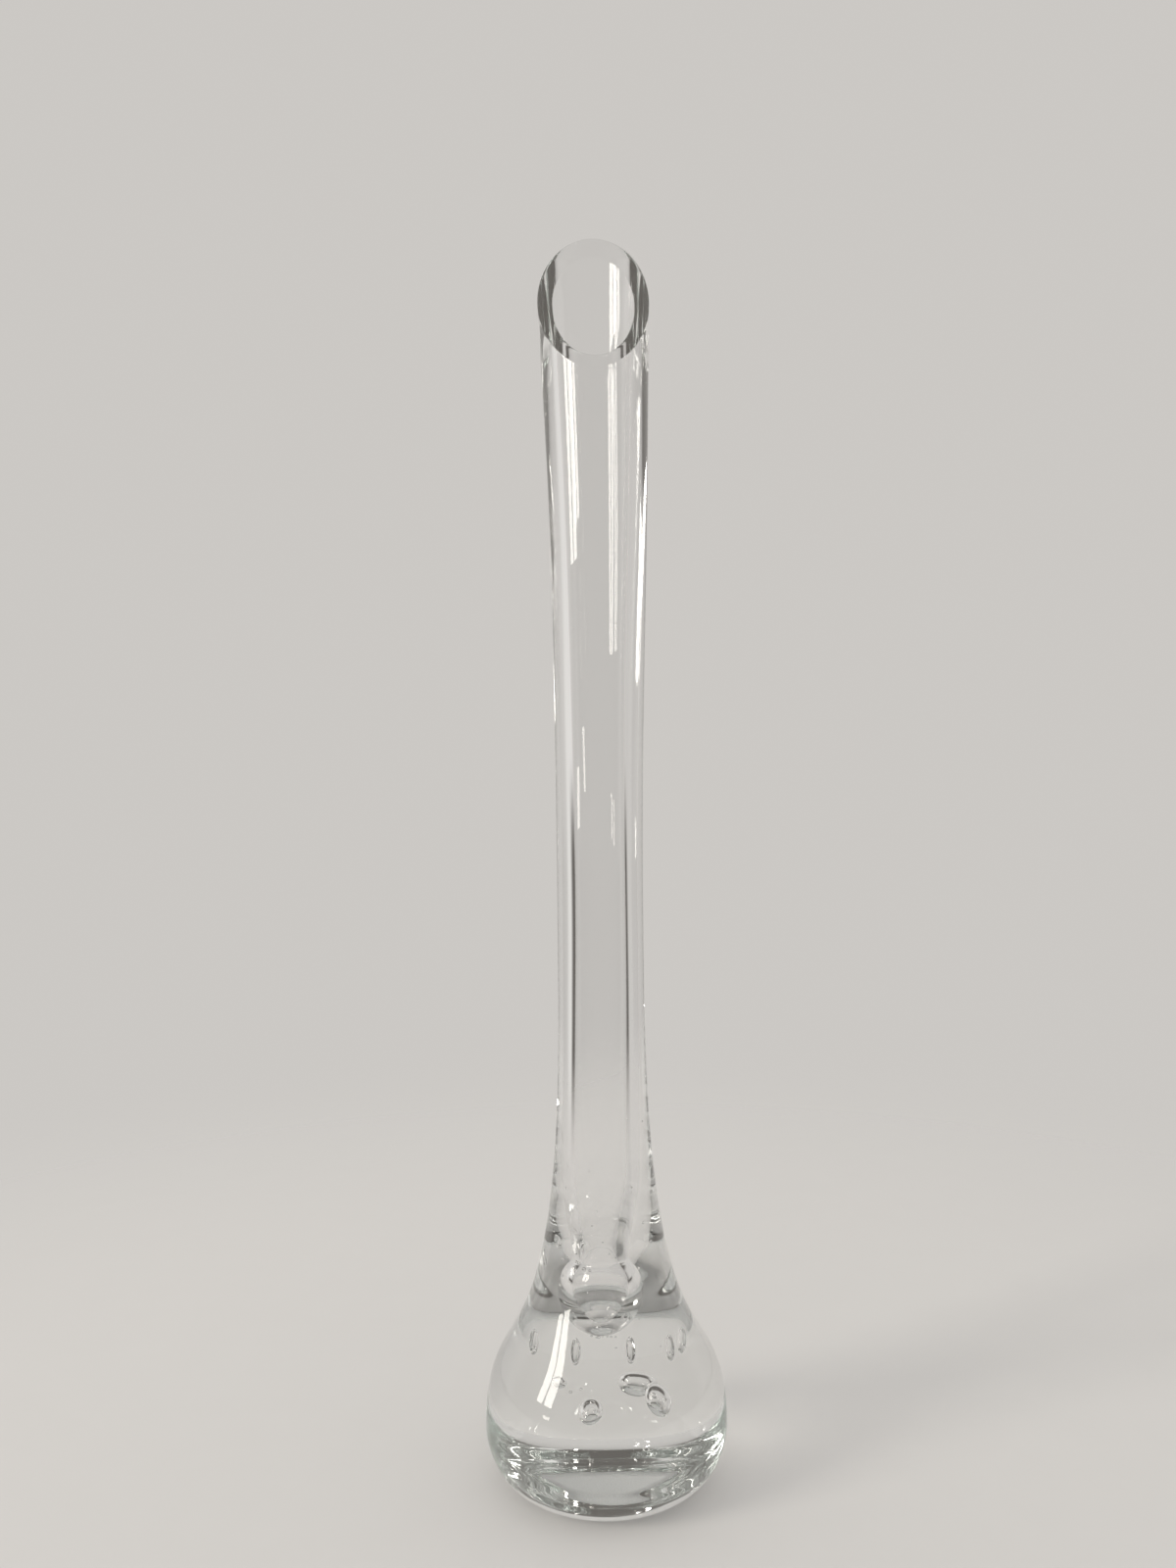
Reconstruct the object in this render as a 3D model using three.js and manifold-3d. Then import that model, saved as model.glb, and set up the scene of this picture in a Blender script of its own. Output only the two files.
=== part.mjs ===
// Bud vase in clear glass, made hot in two gathers with air trapped between them.
// Millimetres, +Z up. The origin is the centre of the standing face.
// The lip is cut on a slant that faces -Y, so its high point is towards +Y.

import * as THREE from 'three';
import { mergeVertices } from 'three/addons/utils/BufferGeometryUtils.js';
import Module from 'manifold-3d';

// Outer form
const height = 315.2; // standing face to the lip's high point
const standRadius = 19.2; // flat ground on the underside
const bellyRadius = 30; // widest part, low on the base
const bellyHeight = 13.35;
const waistRadius = 10.75; // slimmest part of the neck
const waistHeight = 121.45;
const mouthRadius = 14.65; // outside of the lip at its high point
const lipSlant = 57.15; // degrees from level

// Bore
const neckWall = 4.4; // glass at the waist, outside to bore
const lipWall = 3.6; // glass at the lip, outside to bore
const boreFloor = 34.1; // heavy solid base under the bore
const bulbRadius = 6.9; // round chamber at the bore's foot
const bulbHeight = 22; // of the whole ellipsoid, before the throat opens its top
const throatRise = 8.4; // bulb's middle to the throat
const throatRun = 24; // throat to the even bore of the neck
const bulbAside = -0.8; // the bulb stands off the vase's axis, to the left
const boreLean = { front: 0.2, right: 0.18 }; // degrees, from the bulb's middle up

// First gather
const gatherWall = 1.9; // its glass round the bore in the neck
const coreRadius = 13.7; // its teardrop foot, inside the base
const coreHeight = 31.7; // height of the teardrop's widest part
const coreFloor = 13.7; // underside of the teardrop

// Clearance along the seam of the gathers and round each bubble
const seamGap = 0.3;

// Trapped air. Angles are degrees round from the front, positive to the right.
const shoulderBubble = { width: 2.2, length: 6.8 };
const shoulderPlaces = [
  { angle: -80, height: 32.3 },
  { angle: -27, height: 35.2 },
  { angle: 22, height: 35.7 },
  { angle: 66, height: 32.2 },
  { angle: 92, height: 30.4 },
];
const baseBubbles = [
  { angle: -16, height: 20.7, width: 4.7, length: 3.9 },
  { angle: 90, height: 17.6, width: 5, length: 4.1 },
  { angle: 146, height: 17.2, width: 6, length: 4.6 },
  { angle: -127, height: 18.2, width: 2.4, length: 2.4 },
];
const collarBubble = { angle: -86, height: 53.7, width: 1.6, length: 4.4, lean: 45 };

// Shape factors of the curves, as shares of the stretch that each one spans
const footRoll = { reach: 0.73, lift: 0.015, drop: 0.3 };
const bodyFlare = { belly: 0.31, waist: 0.945 };
const neckFlare = { waist: 0.42, mouth: 0.285, draw: 0.115, spread: 0.41 };
const throatCurve = { throat: 0.3, bore: 0.45 };
const coreFlare = { core: 0.3, waist: 0.75 };

// Extra neck that the slant cut takes away
const blankOver = 8;

// Facets: round the axis, along each stretch of a profile, and on a bubble
const turnFacets = 32;
const outerFacets = [1, 9, 14, 8, 1];
const boreFacets = [11, 6, 1, 8, 1];
const seamFacets = [8, 9, 8, 1];
const bubbleFacets = 8;

const wasm = await Module();
wasm.setup();

// Solids and meshes

function toSolid(geometry) {
  const bare = geometry.clone();
  bare.deleteAttribute('normal');
  bare.deleteAttribute('uv');
  const merged = mergeVertices(bare, 1e-4);
  const corners = merged.index.array;
  const triangles = [];
  for (let i = 0; i < corners.length; i += 3) {
    const [a, b, c] = corners.slice(i, i + 3);
    if (a !== b && b !== c && c !== a) triangles.push(a, b, c);
  }
  return new wasm.Manifold(new wasm.Mesh({
    numProp: 3,
    vertProperties: new Float32Array(merged.attributes.position.array),
    triVerts: new Uint32Array(triangles),
  }));
}

function toGeometry(solid) {
  const { vertProperties, triVerts } = solid.getMesh();
  const geometry = new THREE.BufferGeometry();
  geometry.setAttribute('position', new THREE.BufferAttribute(vertProperties, 3));
  geometry.setIndex(new THREE.BufferAttribute(triVerts, 1));
  geometry.computeVertexNormals();
  return geometry;
}

// Points along a profile's stretches, each stretch with its own count of facets.
function pointsAlong(path, facets) {
  return path.curves.flatMap((curve, i) => curve.getPoints(facets[i]).slice(i === 0 ? 0 : 1));
}

// A profile of radius against height, closed to the axis and turned about Z.
function turned(path, facets) {
  const points = pointsAlong(path, facets);
  const top = points[points.length - 1];
  points.push(new THREE.Vector2(0, top.y));
  return toSolid(new THREE.LatheGeometry(points, turnFacets).rotateX(Math.PI / 2));
}

// Profiles

// The neck from the waist to above the lip, inset from the outside at each end.
function addNeck(path, waistInset, lipInset) {
  const rise = height - waistHeight;
  const spread = mouthRadius - waistRadius;
  const mouthRun = rise * neckFlare.mouth;
  const mouthDraw = spread * neckFlare.spread;
  const lip = mouthRadius - lipInset;
  path.bezierCurveTo(
    waistRadius - spread * neckFlare.draw - waistInset, waistHeight + rise * neckFlare.waist,
    lip - mouthDraw, height - mouthRun,
    lip, height,
  );
  path.lineTo(lip + mouthDraw * blankOver / mouthRun, height + blankOver);
  return path;
}

function outerProfile() {
  const path = new THREE.Path();
  const roll = bellyRadius - standRadius;
  const rise = waistHeight - bellyHeight;
  path.moveTo(0, 0);
  path.lineTo(standRadius, 0);
  path.bezierCurveTo(
    standRadius + roll * footRoll.reach, bellyHeight * footRoll.lift,
    bellyRadius, bellyHeight * (1 - footRoll.drop),
    bellyRadius, bellyHeight,
  );
  path.bezierCurveTo(
    bellyRadius, bellyHeight + rise * bodyFlare.belly,
    waistRadius, waistHeight - rise * bodyFlare.waist,
    waistRadius, waistHeight,
  );
  return addNeck(path, 0, 0);
}

// The bulb's ellipse up to the throat, and from there the bore.
const bulbMiddle = boreFloor + bulbHeight / 2;

function boreProfile() {
  const path = new THREE.Path();
  const throatTurn = Math.asin(throatRise / (bulbHeight / 2));
  const throatRadius = bulbRadius * Math.cos(throatTurn);
  const throatHeight = bulbMiddle + throatRise;
  const boreRadius = waistRadius - neckWall;
  path.absellipse(0, bulbMiddle, bulbRadius, bulbHeight / 2, -Math.PI / 2, throatTurn, false, 0);
  path.bezierCurveTo(
    throatRadius, throatHeight + throatRun * throatCurve.throat,
    boreRadius, throatHeight + throatRun * (1 - throatCurve.bore),
    boreRadius, throatHeight + throatRun,
  );
  path.lineTo(boreRadius, waistHeight);
  return addNeck(path, neckWall, lipWall);
}

// The outside of the first gather, or the inside of the casing when grown by the seam.
function seamProfile(grow) {
  const path = new THREE.Path();
  const rise = waistHeight - coreHeight;
  const neckInset = neckWall - gatherWall - grow;
  const lipInset = lipWall - gatherWall - grow;
  const widest = coreRadius + grow;
  const depth = coreHeight - coreFloor + grow;
  path.absellipse(0, coreHeight, widest, depth, -Math.PI / 2, 0, false, 0);
  path.bezierCurveTo(
    widest, coreHeight + rise * coreFlare.core,
    waistRadius - neckInset, waistHeight - rise * coreFlare.waist,
    waistRadius - neckInset, waistHeight,
  );
  return addNeck(path, neckInset, lipInset);
}

// Radius and lean of the middle of the seam at a height
const seamPoints = pointsAlong(seamProfile(seamGap / 2), seamFacets);

function seamAt(z) {
  const next = seamPoints.findIndex((point) => point.y > z);
  const below = seamPoints[next - 1];
  const above = seamPoints[next];
  const share = (z - below.y) / (above.y - below.y);
  return {
    radius: THREE.MathUtils.lerp(below.x, above.x, share),
    lean: Math.atan2(above.x - below.x, above.y - below.y),
  };
}

// Trapped air

// A bubble's ellipsoid about its own centre, grown by the gap for its pocket.
function bubbleGeometry(width, length, grow) {
  const half = width / 2 + grow;
  const ball = new THREE.SphereGeometry(1, bubbleFacets, bubbleFacets - 2);
  return ball.rotateX(Math.PI / 2).scale(half, half, length / 2 + grow);
}

// A bubble on the seam, its length up the seam or leaning across it, and its pocket.
function makeBubble(name, { angle, height: z, width, length, lean = 0 }) {
  const seam = seamAt(z);
  const turn = THREE.MathUtils.degToRad(angle) - Math.PI / 2;
  const mesh = new THREE.Mesh(bubbleGeometry(width, length, 0), trappedAir);
  mesh.name = name;
  mesh.position.set(seam.radius * Math.cos(turn), seam.radius * Math.sin(turn), z);
  mesh.rotation.set(THREE.MathUtils.degToRad(lean), seam.lean, turn, 'ZYX');
  mesh.updateMatrix();
  const pocket = toSolid(bubbleGeometry(width, length, seamGap).applyMatrix4(mesh.matrix));
  return { mesh, pocket };
}

// Materials

const clearGlass = new THREE.MeshStandardMaterial({
  color: 0xe9efec,
  roughness: 0.03,
  metalness: 0,
  transparent: true,
  opacity: 0.3,
});
const trappedAir = new THREE.MeshStandardMaterial({
  color: 0xffffff,
  roughness: 0.02,
  metalness: 0,
  transparent: true,
  opacity: 0.15,
});

// Assembly

const numbered = (stem, list) => list.map((bubble, i) => makeBubble(`${stem}_${i + 1}`, bubble));
const bubbles = [
  ...numbered('shoulder_bubble', shoulderPlaces.map((place) => ({ ...shoulderBubble, ...place }))),
  ...numbered('base_bubble', baseBubbles),
  makeBubble('collar_bubble', collarBubble),
];

// The bore set off the axis at its bulb and leaning from there.
function setLeaning(bore) {
  const upright = bore.translate(0, 0, -bulbMiddle);
  return upright.rotate(boreLean.front, boreLean.right, 0).translate(bulbAside, 0, bulbMiddle);
}

// What lies above the slant: a block whose lower face passes through the lip's high point.
function slantCutter() {
  const reach = 4 * height;
  const block = new THREE.BoxGeometry(reach, reach, reach).translate(0, 0, reach / 2);
  block.rotateX(THREE.MathUtils.degToRad(lipSlant));
  return toSolid(block.translate(0, mouthRadius, height));
}

function glassNode(name, solid) {
  const mesh = new THREE.Mesh(toGeometry(solid), clearGlass);
  mesh.name = name;
  return mesh;
}

const slant = slantCutter();
const withPockets = (solid) => bubbles.reduce((rest, { pocket }) => rest.subtract(pocket), solid);

const gatherBlank = turned(seamProfile(0), seamFacets);
const bore = setLeaning(turned(boreProfile(), boreFacets));
const innerGather = withPockets(gatherBlank.subtract(bore).subtract(slant));

const casingBlank = turned(outerProfile(), outerFacets);
const casingHollow = turned(seamProfile(seamGap), seamFacets);
const outerCasing = withPockets(casingBlank.subtract(casingHollow).subtract(slant));

const vase = new THREE.Group();
vase.add(glassNode('inner_gather', innerGather));
vase.add(glassNode('outer_casing', outerCasing));
for (const { mesh } of bubbles) vase.add(mesh);

export default vase;
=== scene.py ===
"""Clear glass bud vase: one fused body of glass with air trapped in it, its stage and its camera.

The glass is worked out in millimetres in the vase's own frame, with +Z up and the origin in the
middle of the standing face. It goes into its mesh in metres.
"""

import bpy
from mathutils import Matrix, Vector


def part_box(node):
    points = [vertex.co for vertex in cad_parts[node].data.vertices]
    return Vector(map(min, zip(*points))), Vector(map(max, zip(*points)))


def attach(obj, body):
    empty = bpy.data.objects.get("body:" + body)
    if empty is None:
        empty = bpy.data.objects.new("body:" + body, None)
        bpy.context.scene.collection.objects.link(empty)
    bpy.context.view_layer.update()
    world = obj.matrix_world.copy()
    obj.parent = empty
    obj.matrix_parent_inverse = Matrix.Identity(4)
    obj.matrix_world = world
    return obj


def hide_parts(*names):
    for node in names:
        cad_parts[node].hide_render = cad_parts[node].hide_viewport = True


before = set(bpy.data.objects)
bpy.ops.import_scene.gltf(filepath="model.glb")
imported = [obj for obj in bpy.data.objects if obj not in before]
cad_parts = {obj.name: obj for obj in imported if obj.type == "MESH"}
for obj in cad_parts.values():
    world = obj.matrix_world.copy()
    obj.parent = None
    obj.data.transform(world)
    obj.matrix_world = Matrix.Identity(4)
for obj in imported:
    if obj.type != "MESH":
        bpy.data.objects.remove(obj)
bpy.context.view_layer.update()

import logging
import math
from dataclasses import dataclass, field
from enum import Enum

import bpy
import numpy as np
from mathutils import Matrix, Vector

MM = 0.001
BEFORE_ONE = 0.5  # parts a ray's count of none from one or more
LOG = logging.getLogger("bud_vase")


def bezier(points: list[tuple[float, float]], steps: int) -> np.ndarray:
    """Gives points along a cubic Bezier curve.

    A point is the sum of the four given points, weighted by the Bernstein polynomials of degree
    three at its share of the way.

    Args:
        points: Start, two handles and end, as (radius, height).
        steps: How many equal steps of the parameter to take.

    Returns:
        Rows of (radius, height), one more than the steps.
    """
    t = np.linspace(0.0, 1.0, steps + 1)[:, None]
    weights = np.hstack([(1 - t) ** 3, 3 * t * (1 - t) ** 2, 3 * t**2 * (1 - t), t**3])
    return weights @ np.asarray(points, float)


def bell(value: np.ndarray, middle: float, spread: float) -> np.ndarray:
    """Gives a bell curve of height one: e to the minus square of the distance over the spread."""
    return np.exp(-(((value - middle) / spread) ** 2))


class EdgeSide(Enum):
    """The lip's two edges, as the sign of the way from the glass to the air."""

    OUTER = 1
    INNER = -1


@dataclass(frozen=True)
class Shell:
    """A closed surface: rings of points from a first pole to a last one.

    Attributes:
        first: The pole before the first ring.
        rings: Points as an array of rings, places round the ring, and three coordinates.
        last: The pole after the last ring.
    """

    first: np.ndarray
    rings: np.ndarray
    last: np.ndarray

    def points(self) -> np.ndarray:
        """Gives the first pole, the rings in order and the last pole, one point a row."""
        return np.vstack([self.first, self.rings.reshape(-1, 3), self.last])

    def faces(self, start: int) -> list[list[int]]:
        """Joins neighbouring rings by four-sided faces and each end ring to its pole by triangles.

        Args:
            start: The index that the first pole has in the mesh.

        Returns:
            Lists of vertex indices.
        """
        rows, around = self.rings.shape[:2]
        here = start + 1 + np.arange(rows * around).reshape(rows, around)
        beside = np.roll(here, -1, axis=1)
        first = np.full(around, start)
        last = np.full(around, start + 1 + rows * around)
        quads = np.stack([here[:-1], beside[:-1], beside[1:], here[1:]], axis=-1).reshape(-1, 4)
        opening = np.stack([first, beside[0], here[0]], axis=-1)
        closing = np.stack([last, here[-1], beside[-1]], axis=-1)
        return quads.tolist() + opening.tolist() + closing.tolist()


def mesh_of(name: str, shells: list[Shell]) -> bpy.types.Object:
    """Puts closed surfaces into one smooth mesh object at the origin.

    Args:
        name: Name of the object and of its mesh.
        shells: The surfaces, in millimetres.

    Returns:
        The new object, linked to the scene.
    """
    points = [shell.points() for shell in shells]
    starts = np.cumsum([0] + [len(group) for group in points[:-1]])
    faces = [face for shell, start in zip(shells, starts) for face in shell.faces(int(start))]
    mesh = bpy.data.meshes.new(name)
    mesh.from_pydata((np.vstack(points) * MM).tolist(), [], faces)
    mesh.polygons.foreach_set("use_smooth", np.ones(len(faces), bool))
    mesh.update()
    piece = bpy.data.objects.new(name, mesh)
    bpy.context.scene.collection.objects.link(piece)
    return piece


class Graph:
    """Adds the nodes of one material or world and joins them."""

    def __init__(self, tree: bpy.types.NodeTree) -> None:
        """Starts from an empty tree."""
        self.tree = tree
        tree.nodes.clear()

    def add(self, kind: str, inputs: dict | None = None, **settings: object) -> bpy.types.Node:
        """Adds a node.

        Args:
            kind: Blender's name of the node's type.
            inputs: Value or output socket for each named or numbered input.
            **settings: Values of the node's own properties.

        Returns:
            The new node.
        """
        node = self.tree.nodes.new(kind)
        for name, value in settings.items():
            setattr(node, name, value)
        for name, value in (inputs or {}).items():
            if isinstance(value, bpy.types.NodeSocket):
                self.tree.links.new(value, node.inputs[name])
            else:
                node.inputs[name].default_value = value
        return node

    def maths(self, operation: str, a: object, b: object) -> bpy.types.NodeSocket:
        """Gives the result of a Math node on two numbers or sockets."""
        return self.add("ShaderNodeMath", {0: a, 1: b}, operation=operation).outputs[0]

    def ramp(self, value: object, low: float, high: float) -> bpy.types.NodeSocket:
        """Gives a smooth step that rises from 0 where value is low to 1 where it is high."""
        span = {"Value": value, "From Min": low, "From Max": high}
        return self.add("ShaderNodeMapRange", span, interpolation_type="SMOOTHSTEP").outputs[0]

    def noise(self, place: object, scale: float, detail: float) -> bpy.types.NodeSocket:
        """Gives a Noise Texture's value, from 0 to 1, at a place, for a scale and a detail."""
        inputs = {"Vector": place, "Scale": scale, "Detail": detail}
        return self.add("ShaderNodeTexNoise", inputs).outputs["Fac"]

    def blend(self, amount: object, first: object, second: object) -> bpy.types.NodeSocket:
        """Gives a colour from the first at an amount of 0 to the second at 1."""
        inputs = {0: amount, 6: first, 7: second}
        return self.add("ShaderNodeMix", data_type="RGBA", inputs=inputs).outputs[2]

    def length_across(self, place: object) -> bpy.types.NodeSocket:
        """Gives a place's distance from the upright axis: its length once its height is nothing.

        Args:
            place: Socket of the place.

        Returns:
            Socket of the distance.
        """
        level = {0: place, 1: (1.0, 1.0, 0.0)}
        flat = self.add("ShaderNodeVectorMath", level, operation="MULTIPLY").outputs[0]
        return self.add("ShaderNodeVectorMath", {0: flat}, operation="LENGTH").outputs["Value"]


@dataclass(frozen=True)
class ClearGlass:
    """Clear soda glass with drawn cords in it and a dried film in the bulb.

    Attributes:
        ior: How strongly the glass bends light.
        tint: Colour that a metre of the glass tends to.
        density: Strength of that tint, per metre.
        film_roughness: How dull the film in the bulb is at its thickest.
        film_grain: Scale of the film's patches.
        film_patches: Values of their noise where the film starts and where it is thickest.
        film_edge: How far outside the bulb's radius the film ends, in millimetres.
        cord_grain: Scale of the drawn cords.
        cord_draw: Width of the cords over their length.
        cord_depth: Height of the cords in the bump, as a share.
        cord_strength: Strength of the bump.
        cord_height: Height that a share of one stands for, in metres.
    """

    ior: float = 1.52
    tint: tuple[float, float, float, float] = (0.70, 0.86, 0.80, 1.0)
    density: float = 1.0
    film_roughness: float = 0.10
    film_grain: float = 420.0
    film_patches: tuple[float, float] = (0.46, 0.70)
    film_edge: float = 1.0
    cord_grain: float = 420.0
    cord_draw: float = 0.035
    cord_depth: float = 0.10
    cord_strength: float = 0.12
    cord_height: float = 0.0004

    def material(self, form: "VaseForm") -> bpy.types.Material:
        """Makes the glass material.

        Args:
            form: The vase's profile, which places the film.

        Returns:
            The material.
        """
        material = bpy.data.materials.new("clear_glass")
        material.use_nodes = True
        graph = Graph(material.node_tree)
        place = graph.add("ShaderNodeTexCoord").outputs["Object"]
        height = graph.add("ShaderNodeSeparateXYZ", {0: place}).outputs["Z"]
        across = graph.length_across(place)

        film_low = graph.ramp(height, form.bulb_middle() * MM, form.bore_floor * MM)
        film_end = (form.bulb_radius + self.film_edge) * MM
        film_in = graph.ramp(across, film_end, form.bulb_radius * MM)
        patches = graph.noise(place, self.film_grain, detail=4.0)
        film = graph.maths("MULTIPLY", film_low, film_in)
        film = graph.maths("MULTIPLY", film, graph.ramp(patches, *self.film_patches))

        stretch = {"Vector": place, "Scale": (1.0, 1.0, self.cord_draw)}
        drawn = graph.add("ShaderNodeMapping", stretch).outputs[0]
        cords = graph.noise(drawn, self.cord_grain, detail=3.0)
        bump = graph.add("ShaderNodeBump", {
            "Height": graph.maths("MULTIPLY", cords, self.cord_depth),
            "Strength": self.cord_strength,
            "Distance": self.cord_height,
        })

        shader = graph.add("ShaderNodeBsdfPrincipled", {
            "Base Color": (1.0, 1.0, 1.0, 1.0),
            "Roughness": graph.maths("MULTIPLY", film, self.film_roughness),
            "IOR": self.ior,
            "Transmission Weight": 1.0,
            "Normal": bump.outputs[0],
        })
        tinted = {"Color": self.tint, "Density": self.density}
        inside = graph.add("ShaderNodeVolumeAbsorption", tinted)
        output = {"Surface": shader.outputs[0], "Volume": inside.outputs[0]}
        graph.add("ShaderNodeOutputMaterial", output)
        return material


@dataclass(frozen=True)
class GroundGlass:
    """Matt ground glass, with pits from the grinding.

    Attributes:
        pit_shade: Colour in the pits: the ground glass's colour, darkened by painted shade.
        raised: Colour between them.
        roughness: How matt the face is.
        grain: Scale of the pits.
        pit_shade_span: Values of their noise at the bottom of a pit and at its rim, where the
            painted shade is full and where it is gone.
        pit_strength: Strength of the bump.
        pit_depth: Depth of a pit, in metres.
    """

    # Painted shade: the colour in the pits is darker than between them.
    pit_shade: tuple[float, float, float, float] = (0.66, 0.65, 0.62, 1.0)
    raised: tuple[float, float, float, float] = (0.76, 0.75, 0.72, 1.0)
    roughness: float = 0.85
    grain: float = 5200.0
    pit_shade_span: tuple[float, float] = (0.3, 0.6)
    pit_strength: float = 0.4
    pit_depth: float = 0.0001

    def material(self) -> bpy.types.Material:
        """Makes the ground face's material.

        Returns:
            The material.
        """
        material = bpy.data.materials.new("ground_glass")
        material.use_nodes = True
        graph = Graph(material.node_tree)
        place = graph.add("ShaderNodeTexCoord").outputs["Object"]
        grit = graph.noise(place, self.grain, detail=3.0)
        pits = {"Height": grit, "Strength": self.pit_strength, "Distance": self.pit_depth}
        bump = graph.add("ShaderNodeBump", pits)
        shader = graph.add("ShaderNodeBsdfPrincipled", {
            # Painted shade: the colour darkens towards the bottoms of the bump's pits.
            "Base Color": graph.blend(graph.ramp(grit, *self.pit_shade_span), self.pit_shade, self.raised),
            "Roughness": self.roughness,
            "Normal": bump.outputs[0],
        })
        graph.add("ShaderNodeOutputMaterial", {"Surface": shader.outputs[0]})
        return material


@dataclass(frozen=True)
class PaleFloor:
    """Matt pale floor that fades out, so that its far part passes into the backdrop's colour.

    Attributes:
        colour: The floor's colour.
        mottle: Colour that it drifts to in soft patches.
        patch_grain: Scale of the patches.
        roughness: How matt the floor is.
        gloss: Level of its mirror light, none, so that the windows leave no sheen on it.
        fade: Radius where the floor starts to fade and where it is gone, in metres.
    """

    colour: tuple[float, float, float, float] = (0.595, 0.575, 0.55, 1.0)
    mottle: tuple[float, float, float, float] = (0.605, 0.585, 0.56, 1.0)
    patch_grain: float = 60.0
    roughness: float = 0.9
    gloss: float = 0.0
    fade: tuple[float, float] = (0.16, 0.50)

    def material(self) -> bpy.types.Material:
        """Makes the floor's material.

        Returns:
            The material.
        """
        material = bpy.data.materials.new("pale_floor")
        material.use_nodes = True
        graph = Graph(material.node_tree)
        place = graph.add("ShaderNodeTexCoord").outputs["Object"]
        patches = graph.noise(place, self.patch_grain, detail=5.0)
        matt = graph.add("ShaderNodeBsdfPrincipled", {
            "Base Color": graph.blend(patches, self.colour, self.mottle),
            "Roughness": self.roughness,
            "Specular IOR Level": self.gloss,
        })
        clear = graph.add("ShaderNodeBsdfTransparent")
        gone = graph.ramp(graph.length_across(place), *self.fade)
        fading = {0: gone, 1: matt.outputs[0], 2: clear.outputs[0]}
        mixed = graph.add("ShaderNodeMixShader", fading)
        graph.add("ShaderNodeOutputMaterial", {"Surface": mixed.outputs[0]})
        return material


@dataclass(frozen=True)
class Waver:
    """A slow wave that hand working leaves in a wall.

    The radius changes by depth times the sine of (lobes times the angle, plus a full turn for each
    pitch of height, plus the phase), under a bell curve of height.

    Attributes:
        depth: Most that the radius changes, in millimetres.
        lobes: Waves round the axis.
        pitch: Height of one turn of the wave.
        phase: Start of the wave, in radians.
        middle: Height where the wave is strongest.
        spread: How far it reaches above and below that height.
    """

    depth: float
    lobes: int
    pitch: float
    phase: float
    middle: float = 160.0
    spread: float = 1000.0

    def offset(self, angle: np.ndarray, height: np.ndarray) -> np.ndarray:
        """Gives the change of radius at angles and heights, in millimetres."""
        wave = np.sin(self.lobes * angle + math.tau * height / self.pitch + self.phase)
        return self.depth * wave * bell(height, self.middle, self.spread)


@dataclass(frozen=True)
class Bow:
    """A slow sideways bend that hand working leaves in a wall's axis.

    The axis moves along X by the reach, under a bell curve of height.

    Attributes:
        reach: Most that the axis moves, in millimetres.
        middle: Height where it has moved most.
        spread: How far the bend goes above and below that height.
    """

    reach: float
    middle: float
    spread: float

    def offset(self, height: np.ndarray) -> np.ndarray:
        """Gives how far the axis has moved along X at heights, in millimetres."""
        return self.reach * bell(height, self.middle, self.spread)


@dataclass(frozen=True)
class Wall:
    """A turned wall with the waves, lean and bends that hand working gave it, in millimetres.

    Attributes:
        profile: Rows of (radius, height), height rising.
        wavers: The wall's waves.
        start: A point on the wall's own axis.
        lean: How far that axis moves along X and Y for each unit of height.
        settle: Height over which the waves grow from nothing at the profile's low end.
        bows: The bends of the wall's own axis.
        clear: Least height between the last level ring and the slant's own rings.
    """

    profile: np.ndarray
    wavers: tuple[Waver, ...]
    start: tuple[float, float, float] = (0.0, 0.0, 0.0)
    lean: tuple[float, float] = (0.0, 0.0)
    settle: float = 3.0
    bows: tuple[Bow, ...] = ()
    clear: float = 0.5

    def radius(self, angle: np.ndarray, height: np.ndarray) -> np.ndarray:
        """Gives the radius: the profile's, plus the waves times their growth from its low end.

        The growth is one less e to the minus height over the settling height.

        Args:
            angle: Angles round the axis.
            height: Heights.

        Returns:
            A radius for each angle and height.
        """
        waves = sum(waver.offset(angle, height) for waver in self.wavers)
        grown = 1.0 - np.exp(-(height - self.profile[0, 1]) / self.settle)
        return np.interp(height, self.profile[:, 1], self.profile[:, 0]) + waves * grown

    def shift(self, height: np.ndarray) -> np.ndarray:
        """Gives where the wall's own axis passes: the start, plus the lean's climb and the bends.

        Args:
            height: Heights.

        Returns:
            X and Y for each height.
        """
        level = np.asarray(height, float)
        bend = sum((bow.offset(level) for bow in self.bows), np.zeros_like(level))
        climb = level[..., None] - self.start[2]
        straight = np.array(self.start[:2]) + climb * np.array(self.lean)
        return straight + bend[..., None] * np.array([1.0, 0.0])

    def points(self, radius: np.ndarray, angle: np.ndarray, height: np.ndarray) -> np.ndarray:
        """Gives points round the wall's own axis: radius times cosine and sine, and the height.

        Args:
            radius: Radii.
            angle: Angles round the axis.
            height: Heights.

        Returns:
            Three coordinates for each.
        """
        shift = self.shift(height)
        across = radius * np.cos(angle) + shift[..., 0]
        back = radius * np.sin(angle) + shift[..., 1]
        return np.stack(np.broadcast_arrays(across, back, height), axis=-1)

    def level_rings(self, angle: np.ndarray, top: float) -> np.ndarray:
        """Gives the wall's rings below a height, at the profile's own points.

        Args:
            angle: Angles round the axis.
            top: Height where the slant's own rings start.

        Returns:
            Points, as rings, places round the ring and three coordinates.
        """
        rows = self.profile[self.profile[:, 1] < top - self.clear]
        height = np.repeat(rows[:, 1:], len(angle), axis=1)
        grown = self.radius(angle, height)
        exact = height <= self.profile[0, 1]
        return self.points(np.where(exact, rows[:, :1], grown), angle, height)

    def slant_rings(
        self, angle: np.ndarray, low: float, high: np.ndarray, count: int
    ) -> np.ndarray:
        """Gives rings that pass evenly from a level height to a height of each angle's own.

        Args:
            angle: Angles round the axis.
            low: Height of the level ring.
            high: Height of the last ring at each angle.
            count: How many rings.

        Returns:
            Points, as rings, places round the ring and three coordinates.
        """
        share = np.linspace(0.0, 1.0, count)[:, None]
        height = low + (high - low) * share
        return self.points(self.radius(angle, height), angle, height)


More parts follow.
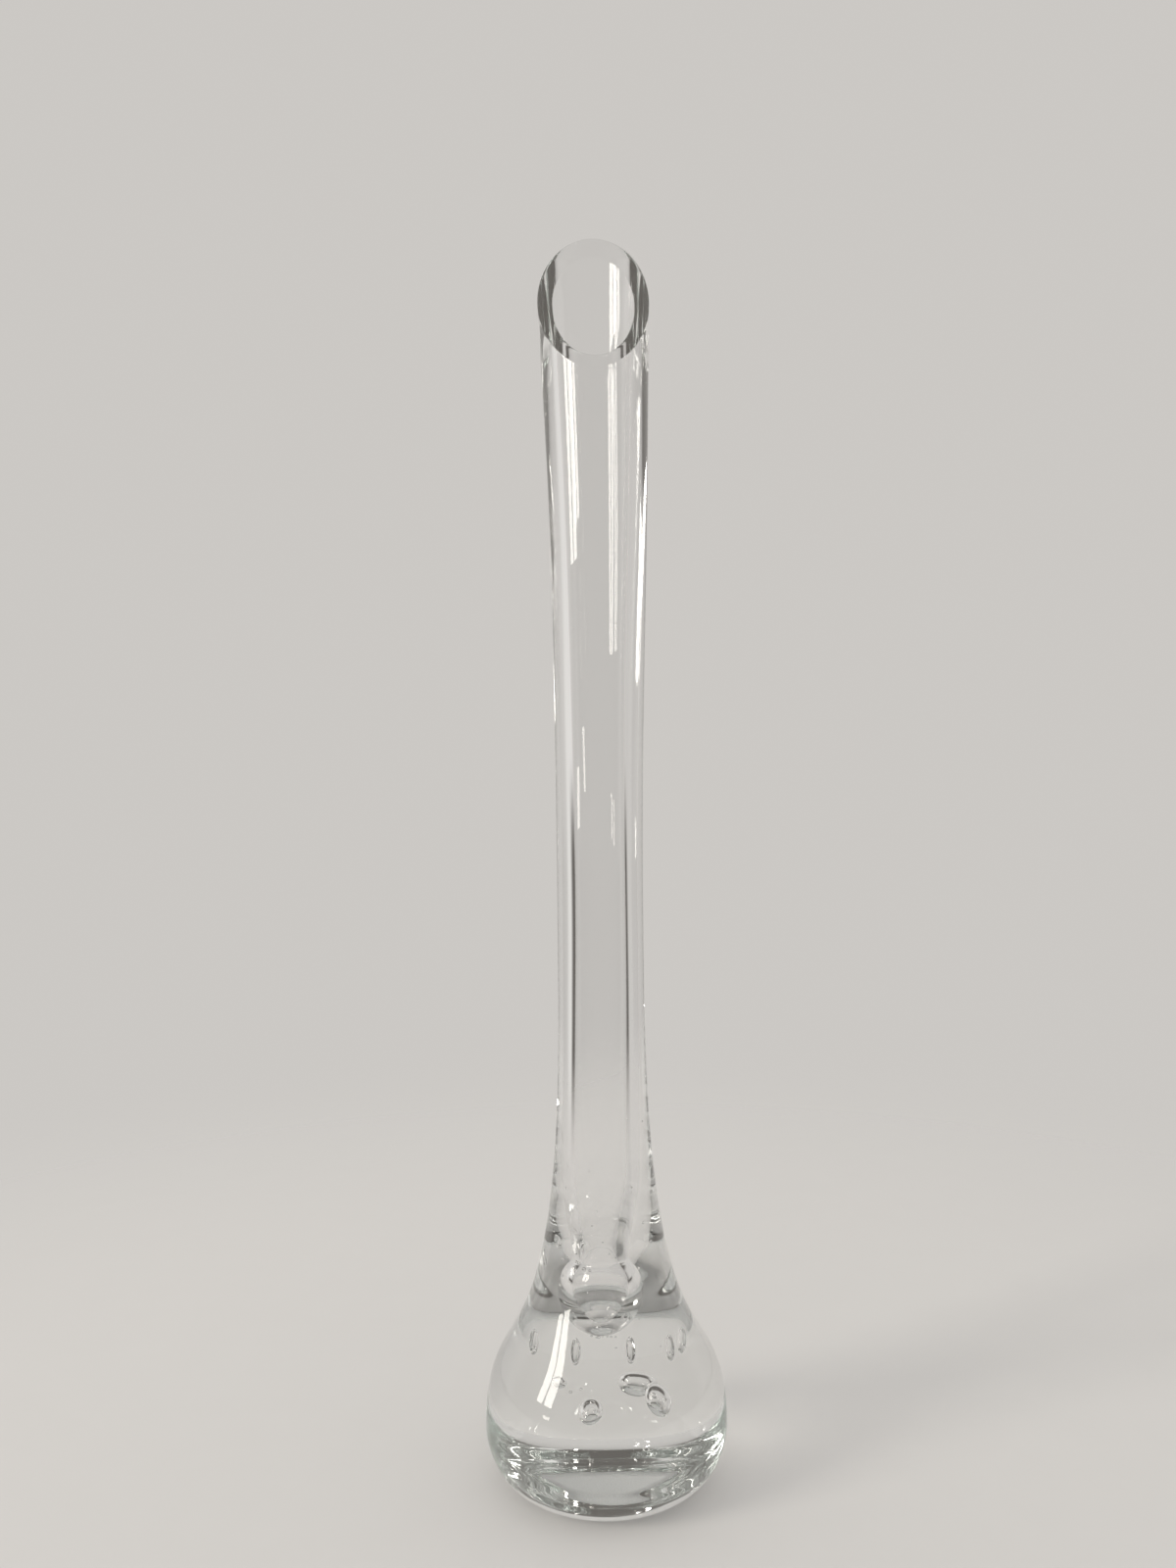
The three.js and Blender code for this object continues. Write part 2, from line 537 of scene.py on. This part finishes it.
@dataclass(frozen=True)
class Flare:
    """Shape factors of the profile's curves, as shares of the stretch that each one spans.

    Attributes:
        foot_reach: How far the underside runs on level from the standing face.
        foot_lift: How far it has risen there.
        foot_drop: How far the belly's upright side reaches down.
        body_belly: How far it reaches up.
        body_waist: How far the waist's upright side reaches down.
        neck_waist: How far the waist's side reaches up.
        neck_draw: How far the neck draws in on that way.
        neck_mouth: How far the mouth's flare reaches down.
        neck_spread: How far the mouth spreads on that way.
        throat: How far the throat's upright side reaches up.
        bore: How far the bore's upright side reaches down to the throat.
    """

    foot_reach: float = 0.73
    foot_lift: float = 0.015
    foot_drop: float = 0.3
    body_belly: float = 0.31
    body_waist: float = 0.945
    neck_waist: float = 0.42
    neck_draw: float = 0.115
    neck_mouth: float = 0.285
    neck_spread: float = 0.41
    throat: float = 0.3
    bore: float = 0.45


@dataclass(frozen=True)
class Steps:
    """How finely the profile's stretches are divided.

    Attributes:
        foot: Steps from the standing face to the belly.
        body: Steps from the belly to the waist.
        neck: Steps from the waist to the lip.
        bulb: Steps round the bulb.
        throat: Steps from the throat to the even bore.
        bore: Points along the even bore.
    """

    foot: int = 48
    body: int = 110
    neck: int = 84
    bulb: int = 48
    throat: int = 24
    bore: int = 20


@dataclass(frozen=True)
class VaseForm:
    """The vase's profile, in millimetres, with the same curves as its solids.

    Attributes:
        height: Standing face to the lip's high point.
        belly_radius: Widest part, low on the base.
        stand_radius: Flat ground on the underside.
        belly_height: Height of the widest part.
        waist_radius: Slimmest part of the neck.
        waist_height: Height of the slimmest part.
        mouth_radius: Outside of the lip at its high point.
        lip_slant: Slant of the lip, in degrees from level.
        neck_wall: Glass at the waist, outside to bore.
        lip_wall: Glass at the lip, outside to bore.
        bore_floor: Height of the solid base under the bore.
        bore_lean: Lean of the bore towards +X and +Y, in degrees.
        bulb_aside: How far along X the bulb stands off the vase's axis.
        bulb_radius: Radius of the round chamber at the bore's foot.
        bulb_height: Height of that chamber's whole ellipsoid.
        throat_rise: Middle of the bulb to the throat.
        throat_run: Throat to the even bore of the neck.
        over: Extra neck that the slant cut takes away.
        flare: Shape factors of the curves.
        steps: Divisions of the curves.
    """

    height: float
    belly_radius: float
    stand_radius: float = 19.2
    belly_height: float = 13.35
    waist_radius: float = 10.75
    waist_height: float = 121.45
    mouth_radius: float = 14.65
    lip_slant: float = 57.15
    neck_wall: float = 4.4
    lip_wall: float = 3.6
    bore_floor: float = 34.1
    bore_lean: tuple[float, float] = (0.18, -0.2)
    bulb_aside: float = -0.8
    bulb_radius: float = 6.9
    bulb_height: float = 22.0
    throat_rise: float = 8.4
    throat_run: float = 24.0
    over: float = 8.0
    flare: Flare = Flare()
    steps: Steps = Steps()

    @classmethod
    def from_frame(cls) -> "VaseForm":
        """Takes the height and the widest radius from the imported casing."""
        low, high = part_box("outer_casing")
        return cls(height=(high.z - low.z) / MM, belly_radius=(high.x - low.x) / MM / 2)

    def neck(self, waist_inset: float, lip_inset: float) -> np.ndarray:
        """Gives the neck from the waist to above the lip, a Bezier curve and a straight end.

        Args:
            waist_inset: How far inside the vase's outside the curve starts.
            lip_inset: How far inside it the curve ends.

        Returns:
            Rows of (radius, height), height rising.
        """
        rise = self.height - self.waist_height
        spread = self.mouth_radius - self.waist_radius
        lip = self.mouth_radius - lip_inset
        waist = self.waist_radius - waist_inset
        run = self.flare.neck_mouth * rise
        draw = self.flare.neck_spread * spread
        curve = bezier([
            (waist, self.waist_height),
            (waist - self.flare.neck_draw * spread,
             self.waist_height + self.flare.neck_waist * rise),
            (lip - draw, self.height - run),
            (lip, self.height),
        ], self.steps.neck)
        end = [lip + draw * self.over / run, self.height + self.over]
        return np.vstack([curve, end])

    def outside(self) -> np.ndarray:
        """Gives the outside from the edge of the standing face to above the lip.

        Its foot and its body are Bezier curves that meet upright at the belly.

        Returns:
            Rows of (radius, height), height rising.
        """
        roll = self.belly_radius - self.stand_radius
        rise = self.waist_height - self.belly_height
        foot = bezier([
            (self.stand_radius, 0.0),
            (self.stand_radius + self.flare.foot_reach * roll,
             self.flare.foot_lift * self.belly_height),
            (self.belly_radius, (1 - self.flare.foot_drop) * self.belly_height),
            (self.belly_radius, self.belly_height),
        ], self.steps.foot)
        body = bezier([
            (self.belly_radius, self.belly_height),
            (self.belly_radius, self.belly_height + self.flare.body_belly * rise),
            (self.waist_radius, self.waist_height - self.flare.body_waist * rise),
            (self.waist_radius, self.waist_height),
        ], self.steps.body)
        return np.vstack([foot, body[1:], self.neck(0.0, 0.0)[1:]])

    def bore(self) -> np.ndarray:
        """Gives the bore from just beside the middle of its floor to above the lip.

        The bulb is an ellipse: the radius goes with the cosine of a turn and the height with its
        sine, from straight down to where the throat opens it.

        Returns:
            Rows of (radius, height), height rising.
        """
        tall = self.bulb_height / 2
        opening = math.asin(self.throat_rise / tall)
        turn = np.linspace(-math.pi / 2, opening, self.steps.bulb + 1)[1:]
        bulb = np.stack([
            self.bulb_radius * np.cos(turn),
            self.bulb_middle() + tall * np.sin(turn),
        ], axis=-1)
        throat, throat_height = bulb[-1]
        straight = self.waist_radius - self.neck_wall
        draw_out = bezier([
            (throat, throat_height),
            (throat, throat_height + self.flare.throat * self.throat_run),
            (straight, throat_height + (1 - self.flare.bore) * self.throat_run),
            (straight, throat_height + self.throat_run),
        ], self.steps.throat)
        neck = self.neck(self.neck_wall, self.lip_wall)
        even = np.linspace(draw_out[-1], neck[0], self.steps.bore)
        return np.vstack([bulb, draw_out[1:], even[1:], neck[1:]])

    def bulb_middle(self) -> float:
        """Gives the height of the bulb's middle, about which the bore leans."""
        return self.bore_floor + self.bulb_height / 2

    def lip_height(self, back: np.ndarray) -> np.ndarray:
        """Gives the height of the slant plane: it rises towards +Y by the tangent of the slant."""
        return self.height + (back - self.mouth_radius) * math.tan(math.radians(self.lip_slant))


@dataclass
class GlassBody:
    """The fused glass: standing face, outer wall, slant-cut lip and bore, as one closed surface.

    Attributes:
        form: The vase's profile.
        around: Points round the axis.
        flat_rings: Rings on the standing face.
        cut_rings: Rings on each wall over the stretch that the slant reaches.
        cut_reach: Height of that stretch below the lip's low point.
        cut_start: How far below the lip's high point the search for the cut starts.
        cut_rounds: Rounds of that search.
        edge_round: Radius of the polished round on the lip's edges.
        edge_rings: Rings on each round.
        face_rings: Rings on the lip's face between the rounds.
        outer_wavers: Waves of the outer wall.
        bore_wavers: Waves of the bore.
        neck_bow: Bend of the neck, for both walls.
        bore_bow: Bend of the bore alone.
    """

    form: VaseForm
    around: int = 192
    flat_rings: int = 10
    cut_rings: int = 36
    cut_reach: float = 18.0
    cut_start: float = 20.0
    cut_rounds: int = 60
    edge_round: float = 0.25
    edge_rings: int = 6
    face_rings: int = 4
    outer_wavers: tuple[Waver, ...] = (
        Waver(0.035, 2, 900.0, 0.4),
        Waver(0.02, 3, -620.0, 1.9),
        Waver(0.012, 5, 480.0, 0.7),
        Waver(0.025, 2, 4.6, 0.5, middle=6.0, spread=5.0),
        Waver(0.02, 5, 7.0, 1.4, middle=5.0, spread=5.0),
        Waver(0.035, 1, 9.0, 0.3, middle=66.0, spread=13.0),
        Waver(0.02, 2, 6.2, 2.1, middle=72.0, spread=16.0),
    )
    bore_wavers: tuple[Waver, ...] = (
        Waver(0.09, 2, 760.0, 1.1),
        Waver(0.06, 3, -540.0, 0.2),
        Waver(0.03, 5, 420.0, 2.6),
        Waver(0.012, 9, -300.0, 0.9),
    )
    neck_bow: Bow = Bow(0.8, 235.0, 55.0)
    bore_bow: Bow = Bow(0.6, 135.0, 55.0)

    def angles(self) -> np.ndarray:
        """Gives the angles round the axis, from +X towards +Y."""
        return np.linspace(0.0, math.tau, self.around, endpoint=False)

    def cut(self, wall: Wall) -> tuple[np.ndarray, np.ndarray]:
        """Finds where a wall meets the slant plane at each angle.

        The height is put into the plane's formula again and again, with the wall's radius at the
        last height found, until it settles.

        Args:
            wall: The outer wall or the bore.

        Returns:
            Radius and height of the meeting, for each angle.
        """
        angle = self.angles()
        height = np.full(self.around, self.form.height - self.cut_start)
        for _ in range(self.cut_rounds):
            back = wall.points(wall.radius(angle, height), angle, height)[..., 1]
            height = self.form.lip_height(back)
        return wall.radius(angle, height), height

    def edge(self, wall: Wall, side: EdgeSide) -> np.ndarray:
        """Gives the rings of the polished round where a wall meets the lip's face.

        In the upright plane through the axis the wall is upright and the face rises outwards by
        the slant's tangent times the sine of the angle. The round is an arc that touches both. Its
        centre lies inside the glass by the round's radius, and below the sharp edge by the radius
        over the tangent of half the angle between wall and face.

        Args:
            wall: The outer wall or the bore.
            side: Which of the two edges it is.

        Returns:
            Points from the wall to the face, as rings, places round the ring and three coordinates.
        """
        angle = self.angles()
        radius, height = self.cut(wall)
        rise = np.arctan(np.sin(angle) * math.tan(math.radians(self.form.lip_slant)))
        between = math.pi / 2 - side.value * rise
        below = self.edge_round / np.tan(between / 2)
        share = np.linspace(0.0, 1.0, self.edge_rings + 1)[:, None]
        turn = share * (math.pi - between)
        inset = self.edge_round * (1.0 - np.cos(turn))
        arc_height = height - below + self.edge_round * np.sin(turn)
        return wall.points(radius - side.value * inset, angle, arc_height)

    def shell(self) -> Shell:
        """Gives the glass's whole surface, from the standing face round to the floor of the bore.

        The lip's face runs straight from one polished round to the other.

        Returns:
            The closed surface, facing out of the glass.
        """
        angle = self.angles()
        outer = Wall(self.form.outside(), self.outer_wavers, bows=(self.neck_bow,))
        bulb = (self.form.bulb_aside, 0.0, self.form.bulb_middle())
        lean = tuple(math.tan(math.radians(turn)) for turn in self.form.bore_lean)
        bends = (self.neck_bow, self.bore_bow)
        bore = Wall(self.form.bore(), self.bore_wavers, bulb, lean, bows=bends)
        outer_edge = self.edge(outer, EdgeSide.OUTER)
        inner_edge = self.edge(bore, EdgeSide.INNER)
        level = outer_edge[0, :, 2].min() - self.cut_reach
        flat = Wall(np.zeros((1, 2)), ())
        flat_share = np.linspace(0.0, 1.0, self.flat_rings + 1)[1:-1, None]
        flat_radius = self.form.stand_radius * flat_share
        share = np.linspace(0.0, 1.0, self.face_rings + 2)[1:-1, None, None]
        rings = np.concatenate([
            flat.points(flat_radius, angle, np.zeros_like(flat_radius)),
            outer.level_rings(angle, level),
            outer.slant_rings(angle, level, outer_edge[0, :, 2], self.cut_rings)[:-1],
            outer_edge,
            outer_edge[-1] + (inner_edge[-1] - outer_edge[-1]) * share,
            inner_edge[::-1],
            bore.slant_rings(angle, level, inner_edge[0, :, 2], self.cut_rings)[:-1][::-1],
            bore.level_rings(angle, level)[::-1],
        ])
        floor = np.append(bore.shift(self.form.bore_floor), self.form.bore_floor)
        return Shell(np.zeros(3), rings, floor)


@dataclass
class GroundFace:
    """The ground layer of the standing face: a thin disc in the glass, with a chipped edge.

    Attributes:
        radius: Middle radius of its edge, in millimetres.
        low: Height of its underside.
        thickness: Height of its edge.
        chips: Waves of its edge.
        around: Points round the axis.
        rings: Rings on each side.
    """

    radius: float = 16.2
    low: float = 0.06
    thickness: float = 0.12
    chips: tuple[Waver, ...] = (
        Waver(0.16, 5, 1000.0, 0.9),
        Waver(0.12, 17, 1000.0, 2.2),
        Waver(0.10, 41, 1000.0, 0.4),
    )
    around: int = 192
    rings: int = 6

    def shell(self) -> Shell:
        """Gives the disc's surface.

        A ring's radius is its share of the edge's radius, which is the middle radius plus the
        chips. The underside runs out from the middle and the top runs back in.

        Returns:
            The closed surface, facing out of the disc.
        """
        angle = np.linspace(0.0, math.tau, self.around, endpoint=False)
        out = np.linspace(0.0, 1.0, self.rings + 1)[1:]
        share = np.concatenate([out, out[::-1]])[:, None]
        high = self.low + self.thickness
        height = np.repeat([self.low, high], self.rings)[:, None]
        edge = self.radius + sum(chip.offset(angle, np.zeros(1)) for chip in self.chips)
        places = [share * edge * np.cos(angle), share * edge * np.sin(angle), height]
        rings = np.stack(np.broadcast_arrays(*places), axis=-1)
        return Shell(np.array([0.0, 0.0, self.low]), rings, np.array([0.0, 0.0, high]))

    def build(self, finish: GroundGlass) -> bpy.types.Object:
        """Makes the disc and dresses it.

        Args:
            finish: Its finish.

        Returns:
            The piece.
        """
        piece = mesh_of("ground_face", [self.shell()])
        piece.data.materials.append(finish.material())
        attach(piece, "root")
        return piece


@dataclass(frozen=True)
class SeedCluster:
    """A scatter of seeds, the tiny bubbles in hand-made glass.

    Attributes:
        count: How many seeds.
        angles: First and last angle, in degrees from the front, positive to the right.
        heights: Lowest and highest seed, in millimetres.
        radii: Nearest and farthest from the axis.
        widths: Smallest and largest seed.
        stretch: Height of a seed over its width.
        jitter: Part of its own share of the angles that a seed may stand in.
    """

    count: int
    angles: tuple[float, float]
    heights: tuple[float, float]
    radii: tuple[float, float]
    widths: tuple[float, float]
    stretch: float = 1.0
    jitter: tuple[float, float] = (0.2, 0.8)

    def places(self, draw: np.random.Generator) -> tuple[np.ndarray, np.ndarray]:
        """Draws the seeds' places and sizes.

        The angles are spread evenly with a jitter, and the rest is drawn evenly between limits.

        Args:
            draw: Source of random numbers.

        Returns:
            Middles, one a row, and half sizes along X, Y and Z, one seed a row.
        """
        first, last = self.angles
        share = (np.arange(self.count) + draw.uniform(*self.jitter, self.count)) / self.count
        angle = np.radians(first + (last - first) * share) - math.pi / 2
        radius = draw.uniform(*self.radii, self.count)
        height = draw.uniform(*self.heights, self.count)
        half = draw.uniform(*self.widths, self.count) / 2
        middles = np.stack([radius * np.cos(angle), radius * np.sin(angle), height], axis=-1)
        return middles, half[:, None] * np.array([1.0, 1.0, self.stretch])


@dataclass
class TrappedAir:
    """The air in the glass: bubbles where the solids have them, and clusters of seeds.

    Attributes:
        nodes: Names of the solids of the bubbles.
        seed_clusters: The scatters of seeds.
        bubble_grid: Rings and points round a bubble.
        seed_grid: Rings and points round a seed.
        unevenness: How far a bubble leaves its ellipsoid, as a share.
        random_seed: Start of the random numbers.
    """

    nodes: tuple[str, ...]
    seed_clusters: tuple[SeedCluster, ...] = (
        SeedCluster(9, (-62.0, 98.0), (55.7, 75.7), (9.4, 10.4), (0.3, 0.7), 1.5),
        SeedCluster(6, (-75.0, -15.0), (53.2, 55.7), (7.5, 8.4), (0.5, 0.9)),
        SeedCluster(7, (-32.0, 24.0), (35.5, 36.1), (4.9, 5.5), (0.4, 0.7)),
        SeedCluster(2, (-42.0, -18.0), (22.1, 26.0), (10.2, 11.0), (0.7, 1.0), 0.6),
        SeedCluster(14, (-180.0, 180.0), (24.0, 90.0), (9.0, 10.2), (0.2, 0.4), 1.4),
    )
    bubble_grid: tuple[int, int] = (21, 32)
    seed_grid: tuple[int, int] = (9, 14)
    unevenness: float = 0.05
    random_seed: int = 11

    def pocket(
        self, middle: np.ndarray, axes: np.ndarray, grid: tuple[int, int], phase: float
    ) -> Shell:
        """Gives the surface of one pocket of air, facing into the air.

        A point is the middle plus the three half axes, weighted as on a unit sphere by latitude
        and longitude, and swelled by one plus the unevenness times two waves that die at the poles:
        one of two lobes, and one of three lobes, six tenths as high, that turns on its way down.

        Args:
            middle: Middle of the pocket.
            axes: Half axes, one a column, the last along the pocket's length.
            grid: Rings and points round the pocket.
            phase: Start of the waves, in radians.

        Returns:
            The closed surface, its rings from the top down.
        """
        down = np.linspace(0.0, math.pi, grid[0] + 2)[1:-1, None]
        along = np.linspace(0.0, math.tau, grid[1], endpoint=False)[None, :]
        waves = np.sin(2 * along + phase) + 0.6 * np.sin(3 * along - 2 * phase + 2 * down)
        swell = 1.0 + self.unevenness * waves * np.sin(down) ** 2
        unit = np.stack([
            np.sin(down) * np.cos(along),
            np.sin(down) * np.sin(along),
            np.broadcast_to(np.cos(down), swell.shape),
        ], axis=-1)
        rings = middle + (unit * swell[..., None]) @ axes.T
        return Shell(middle + axes[:, 2], rings, middle - axes[:, 2])

    def bubble_axes(self, node: str) -> tuple[np.ndarray, np.ndarray]:
        """Reads the ellipsoid of a bubble's solid.

        The axes are the main directions of its points' spread, each as long as its farthest point.
        The longest is turned to point up, and the first is set square to the other two.

        Args:
            node: Name of the solid.

        Returns:
            The middle, and the half axes as columns with the longest last, in millimetres.
        """
        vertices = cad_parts[node].data.vertices
        points = np.empty(len(vertices) * 3)
        vertices.foreach_get("co", points)
        points = points.reshape(-1, 3) / MM
        middle = (points.min(axis=0) + points.max(axis=0)) / 2
        _, directions = np.linalg.eigh(np.cov((points - middle).T))
        directions = directions * np.sign(directions[2, 2] or 1.0)
        directions[:, 0] = np.cross(directions[:, 1], directions[:, 2])
        return middle, directions * np.abs((points - middle) @ directions).max(axis=0)

    def shells(self) -> list[Shell]:
        """Gives the surfaces of all bubbles and seeds.

        Returns:
            One closed surface for each.
        """
        draw = np.random.default_rng(self.random_seed)
        pockets = []
        for node in self.nodes:
            middle, axes = self.bubble_axes(node)
            phase = draw.uniform(0.0, math.tau)
            pockets.append(self.pocket(middle, axes, self.bubble_grid, phase))
        for cluster in self.seed_clusters:
            for middle, half in zip(*cluster.places(draw)):
                phase = draw.uniform(0.0, math.tau)
                pockets.append(self.pocket(middle, np.diag(half), self.seed_grid, phase))
        return pockets


@dataclass
class Vase:
    """The finished vase: the glass with its pockets of air, as one piece.

    Attributes:
        body: The fused glass.
        air: The air trapped in it.
        finish: The glass's finish.
    """

    body: GlassBody
    air: TrappedAir
    finish: ClearGlass = field(default_factory=ClearGlass)

    def build(self) -> bpy.types.Object:
        """Makes the piece, dresses it and sets it in place of the solids.

        Returns:
            The piece.
        """
        piece = mesh_of("vase_glass", [self.body.shell(), *self.air.shells()])
        piece.data.materials.append(self.finish.material(self.body.form))
        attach(piece, "root")
        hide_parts("inner_gather", "outer_casing", *self.air.nodes)
        return piece


@dataclass(frozen=True)
class Softbox:
    """A lamp with a plain lit face, turned to the vase.

    Attributes:
        name: Name of the lamp.
        turn: Degrees round from the front, positive to the right.
        reach: Distance from the vase's axis, in metres.
        height: Height of its middle, in metres.
        size: Width and height of its face, in metres.
        brightness: How bright its face looks, with white as 1.
        colour: Colour of its light.
    """

    name: str
    turn: float
    reach: float
    height: float
    size: tuple[float, float]
    brightness: float
    colour: tuple[float, float, float] = (1.0, 0.96, 0.89)

    def build(self, aim: Vector) -> bpy.types.Object:
        """Makes the lamp and turns it to a point.

        Its power is the brightness times pi for each square metre of its face.

        Args:
            aim: The point, in metres.

        Returns:
            The lamp's object.
        """
        lamp = bpy.data.lights.new(self.name, "AREA")
        lamp.shape = "RECTANGLE"
        lamp.size, lamp.size_y = self.size
        lamp.energy = self.brightness * math.pi * self.size[0] * self.size[1]
        lamp.color = self.colour
        turn = math.radians(self.turn) - math.pi / 2
        holder = bpy.data.objects.new(self.name, lamp)
        holder.location = (self.reach * math.cos(turn), self.reach * math.sin(turn), self.height)
        holder.rotation_euler = (Vector(holder.location) - aim).to_track_quat("Z", "Y").to_euler()
        holder.visible_camera = False
        bpy.context.scene.collection.objects.link(holder)
        return holder


@dataclass
class Studio:
    """Pale floor, a backdrop of plain light and the softboxes.

    Attributes:
        floor: The floor's finish.
        floor_radius: Radius of the floor, in metres.
        floor_points: Points round the floor.
        floor_drop: How far the floor lies under the standing face, in metres.
        pale: Colour of the backdrop, and of the room behind the vase.
        glow: Colour of the room on the windows' side.
        dark: Colour of the room in front and overhead, which draws the edges of the glass.
        front_span: Share of y in a direction where the dark starts and where it is full.
        side_span: The same in the level direction, for what lies below the horizon.
        low_span: Share of z where the dark below the horizon starts and where it is full.
        high_span: Share of z where the dark overhead starts and where it is full.
        glow_span: Share of x where the glow starts and where it is full.
        fill: Plain light that falls on the floor.
        boxes: The softboxes.
        aim_height: Height on the vase's axis that they are turned to, in metres.
        bounces: Most times that light is followed from face to face in the glass.
    """

    floor: PaleFloor = field(default_factory=PaleFloor)
    floor_radius: float = 1.2
    floor_points: int = 64
    floor_drop: float = 0.0002
    pale: tuple[float, float, float, float] = (0.60, 0.58, 0.555, 1.0)
    glow: tuple[float, float, float, float] = (0.78, 0.76, 0.73, 1.0)
    dark: tuple[float, float, float, float] = (0.12, 0.11, 0.10, 1.0)
    front_span: tuple[float, float] = (0.40, 0.05)
    side_span: tuple[float, float] = (0.62, 0.42)
    low_span: tuple[float, float] = (0.0, -0.08)
    high_span: tuple[float, float] = (0.30, 0.60)
    glow_span: tuple[float, float] = (-0.45, -0.75)
    fill: tuple[float, float, float, float] = (0.92, 0.92, 0.92, 1.0)
    boxes: tuple[Softbox, ...] = (
        Softbox("window_left", -67.5, 2.45, 1.145, (0.31, 1.21), 11.0),
        Softbox("window_right", -57.7, 2.45, 1.145, (0.385, 1.21), 11.0),
        Softbox("window_low", -57.0, 2.45, 0.12, (0.30, 0.12), 8.0),
    )
    aim_height: float = 0.12
    bounces: int = 96

    def build(self) -> None:
        """Makes the floor, the backdrop and the lamps, and sets how far light is followed."""
        self.build_floor()
        self.build_backdrop()
        for box in self.boxes:
            box.build(Vector((0.0, 0.0, self.aim_height)))
        cycles = bpy.context.scene.cycles
        cycles.max_bounces = self.bounces
        cycles.transmission_bounces = self.bounces
        cycles.glossy_bounces = self.bounces
        bpy.context.scene.view_settings.view_transform = "Standard"

    def build_floor(self) -> None:
        """Makes the floor: one flat face, its corners at the radius times cosine and sine."""
        angle = np.linspace(0.0, math.tau, self.floor_points, endpoint=False)
        corners = np.stack([np.cos(angle), np.sin(angle), np.zeros_like(angle)], axis=-1)
        points = corners * self.floor_radius - [0.0, 0.0, self.floor_drop]
        mesh = bpy.data.meshes.new("floor")
        mesh.from_pydata(points.tolist(), [], [list(range(len(points)))])
        mesh.materials.append(self.floor.material())
        floor = bpy.data.objects.new("floor", mesh)
        bpy.context.scene.collection.objects.link(floor)

    def build_backdrop(self) -> None:
        """Makes the world: a pale backdrop all round, and the room that the glass mirrors.

        The room is pale behind the vase, brighter on the windows' side, and dark in front,
        overhead and low at the sides. Its parts go by the shares of x, y and z in the direction. It
        shows where light is mirrored on its way, on the glass or inside it. The picture and a
        straight look through the glass show the pale backdrop, and the floor is lit by the plain
        fill.
        """
        world = bpy.data.worlds.new("backdrop")
        world.use_nodes = True
        bpy.context.scene.world = world
        graph = Graph(world.node_tree)
        way = graph.add("ShaderNodeTexCoord").outputs["Generated"]
        parts = graph.add("ShaderNodeSeparateXYZ", {0: way}).outputs
        to_back = graph.maths("DIVIDE", parts["Y"], graph.length_across(way))
        low = graph.ramp(parts["Z"], *self.low_span)
        aside = graph.maths("MULTIPLY", graph.ramp(to_back, *self.side_span), low)
        away = graph.maths("MAXIMUM", graph.ramp(parts["Y"], *self.front_span), aside)
        away = graph.maths("MAXIMUM", away, graph.ramp(parts["Z"], *self.high_span))
        lit = graph.blend(graph.ramp(parts["X"], *self.glow_span), self.pale, self.glow)
        room = graph.blend(away, lit, self.dark)
        path = graph.add("ShaderNodeLightPath").outputs
        seen = graph.maths("MAXIMUM", path["Is Camera Ray"], path["Is Glossy Ray"])
        seen = graph.maths("MAXIMUM", seen, path["Is Transmission Ray"])
        direct = graph.maths("LESS_THAN", path["Diffuse Depth"], BEFORE_ONE)
        seen = graph.maths("MULTIPLY", seen, direct)
        mirrored = graph.maths("GREATER_THAN", path["Glossy Depth"], BEFORE_ONE)
        shown = graph.blend(mirrored, self.pale, room)
        light = graph.add("ShaderNodeBackground", {"Color": graph.blend(seen, self.fill, shown)})
        graph.add("ShaderNodeOutputWorld", {"Surface": light.outputs[0]})


@dataclass(frozen=True)
class PhotoCamera:
    """The photograph's camera: level, in front of the vase and a little above its middle.

    Attributes:
        frame_long: Long side of the picture, in pixels.
        focal: Distance of the picture from the lens, in its pixels.
        distance: Camera to the vase's axis, in metres.
        height: Camera above the standing face, in metres.
        aside: How far right of the picture's middle the axis stands, in pixels.
        roll: Lean of the vase to the left in the picture, in degrees.
        sensor: Long side of the sensor, in millimetres.
        near: Nearest that the camera sees, in metres.
    """

    frame_long: float = 1600.0
    focal: float = 1294.0
    distance: float = 0.3172
    height: float = 0.1720
    aside: float = 10.6
    roll: float = 0.74
    sensor: float = 36.0
    near: float = 0.01

    def build(self) -> bpy.types.Object:
        """Makes the camera and gives it to the scene.

        Its lens is as long as the sensor times the focal distance over the picture's long side.

        Returns:
            The camera's object.
        """
        lens = bpy.data.cameras.new("photo_camera")
        lens.sensor_width = self.sensor
        lens.lens = self.sensor * self.focal / self.frame_long
        lens.shift_x = -self.aside / self.frame_long
        lens.clip_start = self.near
        camera = bpy.data.objects.new("photo_camera", lens)
        camera.location = (0.0, -self.distance, self.height)
        level = Matrix.Rotation(math.pi / 2, 3, "X")
        lean = Matrix.Rotation(math.radians(-self.roll), 3, "Z")
        camera.rotation_euler = (level @ lean).to_euler()
        bpy.context.scene.collection.objects.link(camera)
        bpy.context.scene.camera = camera
        return camera


def main() -> None:
    """Builds the camera, the vase, its ground face and the studio, and reports each piece."""
    logging.basicConfig(level=logging.INFO, format="%(message)s")
    PhotoCamera().build()
    bubbles = tuple(sorted(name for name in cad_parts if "bubble" in name))
    vase = Vase(GlassBody(VaseForm.from_frame()), TrappedAir(bubbles))
    for piece in (vase.build(), GroundFace().build(GroundGlass())):
        LOG.info("%s: %d faces", piece.name, len(piece.data.polygons))
    Studio().build()


if __name__ == "__main__":
    main()
